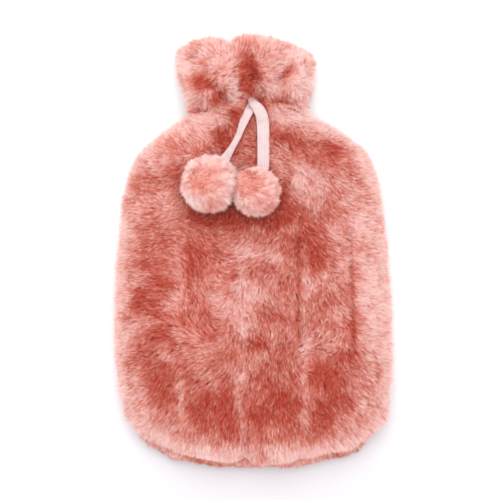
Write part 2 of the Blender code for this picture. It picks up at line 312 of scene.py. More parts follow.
# How a pile grows in tufts: strands to a tuft, a strand's length, a tuft's reach, how much its ends draw
# together, how far it leans over and turns in radians, how ragged its ends are, a strand's width at its foot,
# how far its shading follows the pile as a whole, and how much its tone varies
Pile = namedtuple("Pile", "strands length reach gather lean turn ragged width soft speckle")
POMPOM_PILE = Pile(40, 0.0150, 0.0012, 0.56, 1.14, 0.16, 0.0006, 0.00050, 0.62, 0.12)

# What the strands of every pile share
LEAN_LOST_AT_RIM = 0.35  # a part of their lean
LEAN_SPREAD = 0.16  # from tuft to tuft, as a part of the lean
LENGTH_SPREAD = 0.12  # from strand to strand, as a part of the length
STRAY = 0.13  # how far a strand strays from its tuft's way
TWIST = 0.22  # and its shading from the tuft's
PAST_SPOT = 0.3  # the part of a strand that stands past its spot
UNDER_ROOTS = 0.001  # cloth left below the roots
SHORTEST = 0.0015  # how far up a strand reaches at least
LEAST_RISE = 0.05  # of a strand that lies flat, for each part of its length
TUFT_DOME = 0.15  # a tuft's outer strands end lower, by this part of their distance from its middle
HALO_HAIR = 0.0035  # how far single hairs stand out at a rim, where the rest are shorter by RIM_TRIM
RIM_TRIM = 0.0012


def unit(vectors):
    return vectors / np.maximum(np.linalg.norm(vectors, axis=-1, keepdims=True), 1e-9)


def across_to(vectors, up):
    """The part of each vector that lies along the surface."""
    return vectors - up * (vectors * up).sum(1)[:, None]


def ramp(values, start, run):
    """From 0 at start to 1 a run further on."""
    return np.clip((values - start) / run, 0, 1)


def lumps(places, size, seed):
    """Soft noise from about -1 to 1 at these places, in lumps of size."""
    side = 24
    lattice = np.random.default_rng(seed).uniform(-1.3, 1.3, (side, side, side))
    cell = places / size
    low = np.floor(cell).astype(int)
    part = cell - low
    part = part * part * (3 - 2 * part)
    height = np.zeros(len(places))
    for corner in np.ndindex(2, 2, 2):
        i, j, k = ((low + corner) % side).T
        height += np.prod(np.where(corner, part, 1 - part), axis=1) * lattice[i, j, k]
    return height


def grow(rng, pile, spot, up, lie, deep, tone, facing, rim):
    """Tufts of strands that end about these spots, on a surface that faces up there, and lean the way they
    lie. deep is how far down their roots may be, and at a rim they stand up more and end in a soft halo.
    Returns the strands' roots, tips, tones and facings."""
    tufts = len(spot)
    turn = (rng.normal(size=tufts) * pile.turn)[:, None]
    lie = lie * np.cos(turn) + np.cross(up, lie) * np.sin(turn)
    lean = pile.lean * (1 - LEAN_LOST_AT_RIM * np.minimum(rim, 1)) * (1 + LEAN_SPREAD * rng.normal(size=tufts))
    way = up * np.cos(lean)[:, None] + lie * np.sin(lean)[:, None]
    lift = pile.ragged * rng.normal(size=tufts)
    tone = tone + pile.speckle * rng.normal(size=tufts)
    tuft = np.repeat(np.arange(tufts), pile.strands)
    count = len(tuft)
    offset = across_to(rng.normal(size=(count, 3)) * pile.reach, up[tuft])
    way = unit(way[tuft] + STRAY * rng.normal(size=(count, 3)))
    length = pile.length * (1 + LENGTH_SPREAD * rng.normal(size=count))
    rise = np.maximum((way * up[tuft]).sum(1), LEAST_RISE)
    length = np.minimum(length, np.maximum(deep[tuft] - UNDER_ROOTS, SHORTEST) / rise)
    lift = lift[tuft] + 0.5 * pile.ragged * rng.normal(size=count) - TUFT_DOME * np.linalg.norm(offset, axis=1)
    lift += rim[tuft] * (HALO_HAIR * rng.random(count) ** 3 - RIM_TRIM)
    tip = spot[tuft] + offset * (1 - pile.gather) + way * (length * PAST_SPOT)[:, None] + up[tuft] * lift[:, None]
    root = spot[tuft] + offset - way * (length * (1 - PAST_SPOT))[:, None]
    tone = np.clip(tone[tuft] + 0.8 * pile.speckle * rng.normal(size=count), 0.02, 0.98)
    facing = unit(facing[tuft] + TWIST * rng.normal(size=(count, 3)))
    return root, tip, tone, facing


def strand_piece(name, pile, root, tip, tone, facing, finish):
    """One mesh of tapered strands from arrays: a strand is a flat blade from its root to its point, turned
    the way facing says. Its UV map holds its tone, its place in the finish's shades, and the height up it."""
    count = len(root)
    along = unit(tip - root)
    sideways = unit(np.cross(along, facing))
    mesh = bpy.data.meshes.new(name)
    mesh.vertices.add(count * 3)
    mesh.vertices.foreach_set("co", np.stack(
        [root - sideways * pile.width / 2, root + sideways * pile.width / 2, tip], 1).astype(np.float32).ravel())
    mesh.loops.add(count * 3)
    mesh.loops.foreach_set("vertex_index", np.arange(count * 3, dtype=np.int32))
    mesh.polygons.add(count)
    mesh.polygons.foreach_set("loop_start", np.arange(0, count * 3, 3, dtype=np.int32))
    mesh.polygons.foreach_set("use_smooth", np.ones(count, bool))
    # Its three corners lie a little apart in the UV map, so that the strand has an area there
    shade = tone[:, None] + np.array([-0.003, 0.003, 0.0])
    height = np.broadcast_to(np.array([0.02, 0.02, 0.98]), shade.shape)
    uv = np.stack([shade, height], -1).astype(np.float32).ravel()
    mesh.uv_layers.new(name="OFBake").data.foreach_set("uv", uv)
    mesh.update()
    mesh.validate()
    normal = unit(np.cross(sideways, along) * (1 - pile.soft) + facing * pile.soft)
    mesh.normals_split_custom_set_from_vertices(np.repeat(normal, 3, 0))
    return new_piece(name, mesh, finish)


LIGHT_THROUGH = 0.22  # the part of the light that passes through a strand


def fur_finish(name, roots, tips, through_colour):
    """Plush fur: a strand's colour runs from its root to its tip, and its tone picks the shade from three:
    deep, middle and pale. Some light comes through a strand, from behind."""
    made, pile, shader = new_finish(
        name, Roughness=0.60, Specular_IOR_Level=0.12, Sheen_Weight=0.10, Sheen_Roughness=0.45,
        Sheen_Tint=(1.0, 0.80, 0.74, 1))
    tone = pile.node("ShaderNodeSeparateXYZ", s0=pile.node("ShaderNodeUVMap", {"uv_map": "OFBake"}))
    root, tip = (
        pile.node("ShaderNodeValToRGB", {"stops": list(zip((0.0, 0.5, 1.0), shades))}, s0=tone)
        for shades in (roots, tips))
    feed(tone.other_output(1).rise(0.2, 0.85).blend(root, tip), shader, "Base Color")
    through = pile.node("ShaderNodeBsdfTranslucent", Color=through_colour)
    both = pile.node("ShaderNodeMixShader", Fac=LIGHT_THROUGH, s2=through)
    pile.tree.links.new(shader.outputs[0], both.socket.node.inputs[1])
    pile.tree.links.new(both.socket, pile.tree.nodes["Material Output"].inputs["Surface"])
    return made


pale_fur = fur_finish(
    "pale_fur",
    ((0.46, 0.08, 0.05), (0.72, 0.27, 0.21), (0.91, 0.52, 0.46)),
    ((0.68, 0.19, 0.14), (0.87, 0.515, 0.465), (0.98, 0.83, 0.80)),
    (1.0, 0.62, 0.55, 1))
core_cloth, _, _ = new_finish("gathered_cloth", Base_Color=(0.60, 0.20, 0.14, 1), Roughness=0.9)


def streaks(ball, out, whorl):
    """Streaks that sweep from the whorl over the ball, with the twist of its pile, some sunk between others."""
    from_whorl = np.arccos(np.clip(out @ whorl, -1, 1))
    side = unit(np.cross(whorl, [0, 1, 0]))
    round_whorl = np.arctan2(out @ np.cross(whorl, side), out @ side)
    round_whorl = round_whorl - ball.twist * np.log(np.tan(from_whorl / 2) + 0.02)
    return lumps(np.stack([np.cos(round_whorl), np.sin(round_whorl), 0.25 * from_whorl], 1),
                 STREAK_SIZE, ball.seed + 6)


def pompom_pile(ball, centre):
    """The ball's pile, all round it."""
    rng = np.random.default_rng(ball.seed)
    out = unit(rng.normal(size=(ball.tufts, 3)))
    whorl = unit(np.array(ball.whorl))
    spot = centre + out * ball.radius * (1 - DENT_DEPTH + DENT_DEPTH * lumps(out, DENT_SIZE, ball.seed))[:, None]
    ruffled = np.stack([lumps(out, RUFFLED_SIZE, ball.seed + k) for k in (1, 2, 3)], 1)
    lie = unit(across_to(out - whorl + np.cross(whorl, out) * ball.twist + RUFFLED * ruffled, out))
    deep = np.full(ball.tufts, ball.radius * (1 - POMPOM_CORE))
    tone = BALL_TONE + BALL_MOTTLE * lumps(out, BALL_MOTTLE_SIZE, ball.seed + 5)
    tone += PALER_ROUND * np.clip(1 - out @ whorl, 0, 1)
    streak = streaks(ball, out, whorl)
    tone += STREAK_TONE * streak
    spot += out * (STREAK_DEPTH * streak)[:, None]
    for shade in ball.shades:
        away = np.linalg.norm(out - unit(np.array(shade.towards)), axis=1)
        tone += shade.tone * np.exp(-(away / shade.reach) ** 3)
    rim = ramp(-(out @ whorl), *BALL_RIM)
    grown = grow(rng, POMPOM_PILE, spot, out, lie, deep, tone, unit(out + [0, 0, BALL_UPTURN]), rim)
    return strand_piece(ball.node + "_pile", POMPOM_PILE, *grown, pale_fur)


pompoms = []
for ball in POMPOMS:
    centre = np.array([ball.x, ball.y, ball.z])
    fur = pompom_pile(ball, centre)
    bm = bmesh.new()
    bmesh.ops.create_icosphere(bm, subdivisions=4, radius=ball.radius * POMPOM_CORE)
    bmesh.ops.translate(bm, vec=centre, verts=bm.verts[:])
    name = ball.node + "_core"
    core = new_piece(name, smooth_mesh(name, bm), core_cloth)
    for piece in (core, fur):
        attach(piece, "root")
    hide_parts(ball.node)
    pompoms.append((core, fur))

# Each ribbon end is attached to the root in place of its part from model.glb; its middle line and length are worked
# out, but nothing uses them
for ribbon, route, ball, node in (
        (ribbon_left, LEFT_ROUTE, pompoms[0], "ribbon_left"),
        (ribbon_right, RIGHT_ROUTE, pompoms[1], "ribbon_right")):
    line = middle_line(route, 4)
    long = sum((b - a).length for a, b in zip(line, line[1:]))
    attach(ribbon, "root")
    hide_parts(node)
    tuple(line[0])
    list(ball)

# ---- The front and back panels ----
# Both are cut from one plush: a knitted backing with a dense pile about 12 mm long, sewn along the sides and
# the bottom. The pile lies in swirls, pale where its tips show and deep rose where one looks into it.

# A panel faces up or down by its side. Mottle is how much its large lumps of tone differ, and upturn how far
# its shading is turned to the sky.
Panel = namedtuple("Panel", "node side tufts seed pieces mottle upturn pile")
PANELS = [
    Panel("back_panel", -1, 9000, 21, 1, 0.17, 0.3,
          Pile(18, 0.0125, 0.0013, 0.45, 0.85, 0.35, 0.0006, 0.00110, 0.72, 0.12)),
    Panel("front_panel", 1, 65000, 22, 3, 0.06, 0.6,
          Pile(9, 0.0115, 0.0006, 0.45, 0.80, 0.22, 0.0005, 0.00055, 0.68, 0.19)),
]
BACKING_THICK = 0.0012
BACKING_DEPTHS = (0.0010, 0.0085)  # the least and most pile over it
PLUSH_DEPTH = 0.011  # how deep the pile may be rooted at most
INTO_PLUSH = 0.0006  # where a look into the plush starts
SPINE = (-0.06, 0.13)  # the pile at the edges points away from this stretch of the middle line
LIP_START = -0.158  # the back's lower edge, past the front's
LIP_PILE = 0.0022  # how much pile lies over its backing
LIP_BAND, LIP_PROBE = 0.015, 0.009
INNER_RISE, INNER_OUT = 0.3, 0.25  # an inner face turns less than this to its panel's side, and less outwards
EVENING_ROUNDS = 8
OVER_TABLE = 0.0003  # no strand comes nearer to it

# Steepness goes from 0 where the surface lies flat to 1 where it stands upright: where it starts to count
# as each of these, and over what run
RIM = (0.15, 0.50)
FOOT_RIM = (0.46, 0.20)
SIDE = (0.80, 0.20)
COMBED_DOWN = (0.75, 0.20)

# Stretches along the cover: where each starts, and over what run it comes in
NECK = (0.105, 0.020)
RUFFLE = (0.115, 0.02)
ABOVE_FOOT = (-0.145, 0.03)
FOOT = (0.13, 0.02)  # towards the foot, as the lip is
LIP = (-LIP_START, 0.008)
RUFFLE_CORNER = ((0.040, 0.012), (0.145, 0.012))  # across from the neck's middle, and along
NECK_MIDDLE = -0.004

# Noise in several sizes: a lump's size, its strength and a seed
TONE_SIZE = 0.021
TONE_LUMPS = [(0.008, 0.15, 5), (0.0032, 0.09, 6)]
SWIRLS = [(0.050, 2.6, 9), (0.018, 0.5, 10)]  # turned by so many radians
RELIEF_LUMPS = [(0.013, 0.0011, 31), (0.006, 0.0005, 32)]
PATCH_LUMPS = [(0.015, 0.0024, 41), (0.015, 0.0024, 42)]  # how far the patches' outlines stray, across and along
DEEPER, PALER = 1.4, 1.1  # the strength of all the patches

BASE_TONE = 0.38
# Painted rim light: the steep rims are painted paler
RIM_LIGHT_TONE = 0.54  # how much paler the rims are
SIDE_LOSS = 0.25  # the part of it that an upright side lacks
NECK_LOSS = 0.4  # the part of a rim that the neck and the ruffle lack
RUFFLE_TONE = 0.12
DEEP_TONE = 0.17  # below this the tone levels off, so that the deepest patches keep their grain
# Painted shade in the creases and hollows, and painted light on the ridges
CREASE_SHADE_TONE = 70.0  # how much deeper the tone is for each metre that the pile is pressed down
BESIDE_RIBBON, RIBBON_SHADE = 0.0085, 0.15  # how far the shade of a ribbon reaches, and its tone

HALF_WIDTH = 0.10  # how far from the spine the pile points outwards in full
SWIRL_LOSS = 0.7  # the part of the swirls that is lost there
OUTWARD = 1.3  # how firmly it points outwards
COMBING = 1.4  # and down at the sides

RUFFLE_RELIEF = 1.2  # how much rougher the ruffle is
RIM_SUNK = 0.0032  # how far the ends are drawn in at a rim
HALO = 0.9  # how much longer the ruffle's single hairs are
LEAST_ROOM, LEAST_PRESSED = 0.0055, 0.0025  # for the roots, and where a crease presses the pile down
INTO_ROOM = 0.35  # how much of that room a hollow may take up

# The share of tufts against an even spread: what the cover lies on, the back's lip, and what a hollow adds
GROUND_SHARE, LIP_SHARE, HOLLOW_SHARE = 0.35, 3.0, 1.2

# The back's low fringe, which shows past the front: its lip stands out sideways and is sunk on top
LIP_TONE, LIP_OUT, LIP_SUNK, LIP_ROOM = 0.04, 0.0022, 0.0034, 0.0040
BACK_SUNK, CORNER_OUT = 0.0022, 0.0036  # its ruffle's rims, and its corners
MM = 0.001  # the tables that follow are in millimetres

# Patches where the pile shows paler, with a tone above 0, or deeper: centre, reach across and along, turn in
# degrees and tone. The deep ones under and between the pompoms, beside the left ribbon and in the ruffle's hollows,
# slits, curl and folds are painted shade
Patch = namedtuple("Patch", "x y across along turn tone")
PATCHES = [Patch(*row) for row in (
    (-92, -43, 9, 10, 0, -0.42),  # left side, upper
    (-75, -29, 7, 7, 0, -0.30),  # left side
    (-46, -8, 7, 19, 0, -0.28),  # left pressed band
    (-79, -72, 10, 7, 0, -0.30),  # left side, middle
    (-77, -112, 10, 17, 0, -0.36),  # left side, lower
    (-94, -88, 12, 12, 0, -0.24),  # left side, corner
    (-29, -124, 17, 7, 0, -0.34),  # foot, left
    (-20, -138, 8, 13, 0, -0.36),  # foot, left of the middle
    (5, -138, 10, 5, 0, -0.42),  # foot, right of the middle
    (27, -127, 11, 10, 0, -0.38),  # foot, right
    (60, -104, 14, 11, 0, -0.36),  # foot, far right
    (57, -140, 7, 9, 0, -0.28),  # foot, far right, low
    (88, -124, 8, 16, 0, 0.20),  # corner on the right
    (52, -124, 13, 9, 0, -0.16),  # foot, right, over it
    (44, 7, 7, 10, 0, -0.42),  # right, upper
    (49, -9, 6, 10, -25, -0.34),  # right, upper, foot
    (0, -77, 10, 6, 0, -0.28),  # middle, low
    # painted shade under the pompoms
    (-2, 27, 38, 9, 0, -0.50),  # under the pompoms
    # painted shade under the right pompom
    (21, 24, 9, 5, 10, -0.45),  # deep red under the right pompom
    # painted shade beside the right pompom
    (23, 42, 6, 12, -15, -0.45),  # right of the right pompom
    # painted shadow under the right pompom
    (17, 33, 11, 10, 25, -1.10),  # under the right pompom
    (75, 81, 15, 6, -8, -0.26),  # right shoulder
    # painted shade beside the left ribbon
    (-24, 90, 6, 13, 25, -0.36),  # left of the ribbons
    (30, 91, 14, 5, -25, -0.22),  # right of the ribbons
    (44, 104, 12, 10, 0, 0.28),  # right of the neck
    (60, 86, 16, 6, -10, -0.20),  # right shoulder, inner
    (34, 67, 14, 9, 0, 0.26),  # right of the ribbon
    (59, 74, 13, 7, 0, -0.26),  # right shoulder, low
    (67, 55, 13, 6, 0, 0.24),  # under the right shoulder
    (-61, 57, 9, 11, 0, -0.22),  # left of the left pompom
    (-92, 47, 14, 11, 0, -0.17),  # left side, high
    # painted shade under the left pompom
    (-41, 32, 13, 11, 0, -0.66),  # under the left pompom, left
    (56, 103, 18, 5, -22, 0.26),  # right shoulder
    (-90, 59, 10, 7, 0, -0.15),  # left shoulder
    (-70, 92, 13, 8, 30, -0.14),  # left shoulder, high
    (82, -67, 4, 33, 0, -0.14),  # right, inside the band
    (76, -88, 10, 7, 0, -0.20),  # right, low
    (-86, 12, 13, 12, 0, -0.16),  # left, high
    (-80, -14, 14, 7, 0, -0.18),  # left, over the deep side
    (-5, -2, 12, 7, 0, 0.26),  # middle
    (15, -6, 11, 6, 0, 0.24),  # middle right
    (11, -35, 12, 9, 0, 0.16),  # right of the heart
    (62, -26, 15, 6, 0, 0.16),  # right, by the crease
    (-27, -30, 12, 8, 0, 0.16),  # over the heart
    (-26, -46, 12, 10, 0, 0.34),  # heart
    (-3, -30, 12, 8, 0, 0.26),  # middle, low
    (-69, -46, 7, 7, 0, 0.22),  # left
    (-96, -62, 10, 4, 0, 0.16),  # left rim
    (69, 4, 7, 18, 10, 0.34),  # right, high
    (81, 25, 13, 18, 0, 0.28),  # right, over it
    (85, 5, 9, 16, 0, 0.28),  # right, beside it
    (31, 0, 8, 13, 0, -0.17),  # right of the middle
    (-98, -13, 10, 7, 0, -0.18),  # left edge, middle
    (-79, -50, 7, 10, 0, -0.28),  # left side, deep
    (-99, -59, 12, 11, 0, -0.14),  # left edge, low
    (-11, -44, 13, 12, 0, 0.20),  # low heart
    (-33, -54, 9, 9, 0, -0.18),  # under the heart, left
    (-10, -57, 10, 13, 0, 0.15),  # under the heart
    (45, -80, 12, 20, 0, 0.17),  # right of the lower middle
    (-63, -78, 9, 9, 0, -0.16),  # left of the lower middle
    (95, -36, 12, 28, 0, 0.36),  # pale band on the right
    (100, -76, 7, 12, 0, 0.16),  # pale band, lower
    (42, -33, 11, 16, 0, 0.18),  # right of the crease
    (70, -52, 8, 8, 0, 0.26),  # right, middle
    (68, -70, 14, 8, 0, 0.16),  # right, low
    (42, 55, 14, 13, -20, 0.46),  # whorl by the pompom
    (50, 35, 9, 10, 20, 0.26),  # under the whorl
    (-61, -60, 4, 78, 0, 0.13),  # pale pressed band, left
    (-61, -114, 4, 24, 0, 0.14),  # its foot
    (-10, -60, 5, 78, 0, 0.13),  # pale pressed band, middle
    (-10, -128, 4, 30, 0, 0.28),  # its foot
    (43, -50, 4, 70, 0, 0.15),  # pale pressed band, right
    (42, -126, 4, 28, 0, 0.18),  # its foot
    # painted shade in the crease
    (37, -32, 2.2, 42, 0, -0.15),  # dark line of the crease beside it
    (62, -150, 9, 7, 0, 0.24),  # pale fringe, right
    (34, -158, 20, 7, 0, 0.26),  # pale fringe, right of the middle
    (14, -117, 18, 13, 0, -0.20),  # foot, over the middle
    (-4, -146, 15, 15, 0, -0.16),  # foot, middle
    (39, -148, 13, 10, 0, -0.20),  # foot, right, low
    (70, -123, 14, 14, 0, -0.26),  # foot, right side
    (-40, -132, 15, 15, 0, -0.30),  # foot, left, low
    (22, -137, 14, 8, 0, -0.20),  # foot, right of the middle, low
    (-67, -153, 14, 8, 0, 0.26),  # pale fringe, left
    (-36, -162, 10, 6, 0, 0.26),  # pale fringe, left of the middle
    (3, -168, 12, 8, 0, -0.20),  # fringe, middle
    (-107, -88, 8, 7, 0, 0.12),  # left corner
    (98, 14, 7, 15, 0, 0.12),  # high right edge
    (95, 63, 9, 20, 15, 0.24),  # right edge under the shoulder
    (-60, 78, 16, 5, 30, 0.14),  # left shoulder
    (-86, 28, 8, 15, 0, 0.16),  # left of the pompom
    (-69, 35, 7, 12, 0, 0.18),  # nearer the pompom
    # painted shade between the pompoms
    (-12, 34, 13, 9, 0, -0.50),  # between the pompoms
    (-103, 29, 6, 11, 0, -0.16),  # left edge, high
    (-44, -85, 12, 8, 0, 0.18),  # low middle
    (-57, -94, 8, 10, 0, -0.10),  # low left
    # painted shade in the hollow of the gather
    (-5, 141, 7.8, 12, 4, -1.35),  # hollow of the gather
    (-5, 168, 9, 7, 0, -0.22),  # top of the gather
    # painted shade in the hollow
    (-42, 137, 8, 6, 0, -0.50),  # hollow in the left
    (-48, 147, 9, 7, 0, 0.28),  # over the hollow in the left
    # painted shade in the slit
    (-29, 125, 4, 8, -35, -0.60),  # slit left of the tie
    (-40, 168, 7, 3, 0, -0.20),  # top left corner
    (-26, 151, 11, 15, 0, 0.10),  # left lump
    (-16, 142, 4, 14, 4, 0.22),  # left lump, by the hollow
    (-17, 125, 6, 7, 0, 0.16),  # left lump, foot
    (30, 150, 16, 15, 0, 0.16),  # right lump
    (16, 155, 8, 12, 10, -0.13),  # right lump, inner
    (12, 171, 11, 7, 0, 0.20),  # top of the right lump
    (33, 154, 9, 9, 0, 0.20),  # right lump, outer
    # painted shade in the curl
    (27, 144, 7, 3, 38, -0.35),  # right curl
    (24, 122, 8, 4, 10, -0.20),  # right lump, foot
    (-59, 152, 6, 8, 0, 0.20),  # left edge
    (-54, 125, 7, 6, 0, 0.16),  # lower left
    (44, 144, 6, 12, 0, 0.20),  # right edge
    (1, 127, 12, 6, 0, 0.40),  # over the tie
    (-38, 101, 17, 10, 15, 0.32),  # pale by the neck, left
    # painted shade in the neck fold
    (-44, 115, 6, 2, 0, -0.30),  # neck fold, left
    (-31, 114, 9, 7, 0, 0.24),  # by the slit
    (31, 110, 17, 7, -14, 0.34),  # pale by the neck, right
    # painted shade in the neck fold
    (27, 119, 7, 2, 0, -0.22),  # neck fold, right
    (-2, 92, 8, 10, 0, 0.14),  # between the ribbons
    # painted shade by the ribbons' start
    (7, 117, 5, 9, 0, -0.22),  # shade by the ribbons' start
    (19, 106, 9, 10, 0, 0.16),  # right of the ribbons' start
    (16, 77, 7, 11, 0, 0.20),  # right of the ribbon
    (-29, 79, 8, 6, 0, -0.16),  # over the left pompom
    (-15, 110, 7, 6, 0, -0.20),  # tie, left
)]

# Where the ruffle is drawn in too deep to catch the light: centre and reach across and along
RUFFLE_HOLLOWS = [(-5, 144, 8, 17), (-43, 140, 9, 8), (-28, 124, 6, 9)]

# Folds, hollows and pressed creases in the pile: from start to end; a negative depth is a ridge. Their depth also
# paints shade into the tone, and paler tone on a ridge
Crease = namedtuple("Crease", "start end half_width depth")
CREASES = [Crease(*row) for row in (
    ((-52.0, 24.4), (-51.2, -42.3), 2.3, 1.5),  # pressed crease on the left
    ((36.8, 9.1), (38.6, -74.4), 1.9, 1.4),  # pressed crease right of the middle
    ((79.6, 16.0), (83.0, -85.5), 1.8, 1.5),  # pressed crease on the right
    ((-12.9, -125.3), (-12.9, -148.6), 1.8, 0.7),  # pressed crease at the foot
    ((-4.2, 133.0), (-3.7, 157.0), 4.6, 1.2),  # gather, deep in the ruffle
    ((-22.8, 156.9), (-20.3, 127.8), 7.0, -2.2),  # left lump of the ruffle
    ((15.4, 156.9), (12.0, 132.0), 7.0, -1.6),  # right lump of the ruffle
    ((36.9, 156.9), (36.9, 130.3), 8.0, -1.6),  # far right lump
    ((-45.2, 138.6), (-41.1, 143.6), 7.0, 1.0),  # hollow in the ruffle's left
    ((-32.0, 132.0), (-23.7, 118.7), 2.6, 1.8),  # slit left of the tie
    ((32.8, 151.1), (22.0, 140.3), 2.8, 1.6),  # curl in the right
    ((-57.7, 155.2), (-46.9, 163.5), 2.2, 2.4),  # top left fold
    ((-50.2, 114.5), (-37.8, 114.5), 2.4, 1.0),  # neck fold, left
    ((20.3, 120.3), (35.3, 117.9), 2.6, 1.0),  # neck fold, right
    ((-17.0, 113.7), (-24.5, 88.8), 4.5, 1.6),  # crease left of the ribbons
    ((12.0, 117.9), (25.3, 108.7), 3.5, 1.4),  # crease right of the ribbons
    ((42.7, 156.9), (47.7, 140.3), 2.0, 1.2),  # right bump of the back layer
    ((30.3, 63.9), (48.6, 54.8), 1.5, 1.1),  # in the whorl by the pompom
    ((29.0, 49.0), (49.0, 41.0), 1.5, 1.1),  # in the whorl by the pompom, lower
    ((32.0, 37.0), (50.0, 28.0), 1.5, 1.0),  # in the whorl by the pompom, lowest
    ((-56.0, 144.4), (-52.7, 125.3), 5.0, -1.2),  # left edge lump
)]

# Which way the pile is brushed around a place, in degrees from +X, and how firmly
Brush = namedtuple("Brush", "x y reach angle pull")
BRUSHES = [Brush(*row) for row in (
    (-73, 82, 25, 150, 1.2),  # left shoulder
    (63, 82, 25, -8, 1.6),  # right shoulder
    (98, -34, 33, -25, 1.4),  # right band
    (-107, -51, 37, 205, 1.2),  # left rim
    (22, -105, 25, -40, 1.3),  # foot, right
    (-40, -125, 23, -120, 1.0),  # foot, left
    (-3, -164, 50, -90, 2.5),  # bottom rim
    (-69, -146, 22, -125, 1.5),  # bottom, left
    (76, -146, 22, -55, 1.5),  # bottom, right
    (32, 53, 7, 200, 1.2),  # whorl by the pompom, left
    (50, 51, 10, -30, 1.6),  # whorl by the pompom, right
    (-4, 161, 12, 90, 2.0),  # ruffle, middle
    (-36, 155, 17, 125, 2.0),  # ruffle, left
    (-53, 136, 12, 190, 1.8),  # ruffle, far left
    (26, 155, 17, 55, 2.0),  # ruffle, right
    (43, 136, 12, -10, 1.8),  # ruffle, far right
    (-21, 132, 8, 100, 1.0),  # left lump
    (-45, 102, 17, 172, 1.7),  # neck, left
    (39, 105, 15, -20, 1.4),  # neck, right
    (-11, -42, 22, -60, 0.9),  # middle
    (-26, 95, 10, -120, 1.2),  # left of the ribbons
    (-3, 127, 6, -90, 3.0),  # over the ribbons' start
    (-3, 20, 22, -90, 1.2),  # under the pompoms
)]

# The front's lower edge: its pile hangs in scallops over the back panel's lip
FOOT_EDGE = [
    (-115, -140), (-100, -148), (-90, -155.5), (-80, -161.5), (-65, -167), (-57, -170), (-44, -172.6), (-33, -175),
    (-24, -177.2), (-14, -176), (-6, -171.5), (-1, -176), (6, -178), (26, -178.2), (37, -174.5), (47, -173.8),
    (59, -170.5), (76, -167), (90, -161), (100, -153), (115, -140)]
foot_x, foot_y = np.array(FOOT_EDGE).T * MM
FOOT_REACH = 0.004  # how wide a stretch of the solid's edge is compared with each point
HANG_IN, HANG_OUT = 0.002, 0.006  # how far the ends are drawn in or stand out to meet it
SCALLOP_RAGGED = 0.0008

# The ribbons press the pile down: from how many quarters of a station on, how far past their edges, and how
# far below their middle line
RIBBON_OUT = 6
RIBBON_MARGIN = 0.0006
RIBBON_BED = 0.0013


def layered(places, layers):
    """Soft noise in several sizes at once."""
    return sum(strength * lumps(places, size, seed) for size, strength, seed in layers)


def in_hollows(places):
    """For each hollow of the ruffle, how far these places lie in it, from 0 to 1."""
    for x, y, across, along in RUFFLE_HOLLOWS:
        gone = (places[:, :2] - [x * MM, y * MM]) / [across * MM, along * MM]
        yield np.exp(-(gone * gone).sum(1))


def crease_depth(places):
    """How deep the creases press the pile down at these places."""
    depth = np.zeros(len(places))
    for crease in CREASES:
        start, end = np.array(crease.start) * MM, np.array(crease.end) * MM
        run = end - start
        along = np.clip((places[:, :2] - start) @ run / (run @ run), 0, 1)
        away = np.linalg.norm(places[:, :2] - start - along[:, None] * run, axis=1)
        depth += crease.depth * MM * np.exp(-(away / (crease.half_width * MM)) ** 2)
    return depth


def slope_of(height, places, step=0.0004):
    """How a height over the table changes along X and Y, from places a step apart."""
    ways = []
    for axis in (0, 1):
        move = np.zeros(3)
        move[axis] = step
        ways.append((height(places + move) - height(places - move)) / (2 * step))
    return np.stack(ways + [np.zeros(len(places))], 1)


def patch_tone(spot):
    """How much paler or deeper the patches make the pile, with outlines that stray a little."""
    bent = spot[:, :2] + np.stack([layered(spot, [layer]) for layer in PATCH_LUMPS], 1)
    tone = np.zeros(len(spot))
    for patch in PATCHES:
        turn = math.radians(patch.turn)
        dx, dy = bent[:, 0] - patch.x * MM, bent[:, 1] - patch.y * MM
        u = (dx * math.cos(turn) + dy * math.sin(turn)) / (patch.across * MM)
        v = (dy * math.cos(turn) - dx * math.sin(turn)) / (patch.along * MM)
        strength = DEEPER if patch.tone < 0 else PALER
        tone += strength * patch.tone * np.exp(-(u * u + v * v) ** 1.5)
    return tone


def brushed(spot):
    """Which way the brushing pulls the pile, and how firmly."""
    pull = np.zeros((len(spot), 3))
    for brush in BRUSHES:
        gone = np.hypot(spot[:, 0] - brush.x * MM, spot[:, 1] - brush.y * MM) / (brush.reach * MM)
        turn = math.radians(brush.angle)
        pull += (brush.pull * np.exp(-gone * gone))[:, None] * np.array([math.cos(turn), math.sin(turn), 0])
    return pull


def beside_ribbons(spot):
    """Where the pile lies in the shade of a ribbon, from 0 to 1 for each."""
    for route in (LEFT_ROUTE, RIGHT_ROUTE):
        line = np.array([point[:2] for point in middle_line(route, 2)])
        gap = np.linalg.norm(spot[:, None, :2] - line, axis=2).min(1) / BESIDE_RIBBON
        yield np.exp(-gap ** 4)


def trim_foot(rng, root, tip):
    """Trims the front's pile along its lower edge, in scallops."""
    edge = np.interp(root[:, 0], foot_x, foot_y) + SCALLOP_RAGGED * rng.normal(size=len(root))
    low = tip[:, 1] < edge
    keep = np.clip((root[low, 1] - edge[low]) / (root[low, 1] - tip[low, 1]), 0.15, 1)
    tip[low] = root[low] + (tip[low] - root[low]) * keep[:, None]


def press_under_ribbons(tip):
    """Presses the pile down where a ribbon lies on it."""
    for route in (LEFT_ROUTE, RIGHT_ROUTE):
        for k in range(RIBBON_OUT, 4 * (len(route) - 1) + 1):
            middle, _, _ = ribbon_frame(route, k / 4)
            half = on_route(route, "width", k / 4) / 2 + RIBBON_MARGIN
            under = np.hypot(tip[:, 0] - middle.x, tip[:, 1] - middle.y) < half
            tip[under, 2] = np.minimum(tip[under, 2], middle.z - RIBBON_BED)


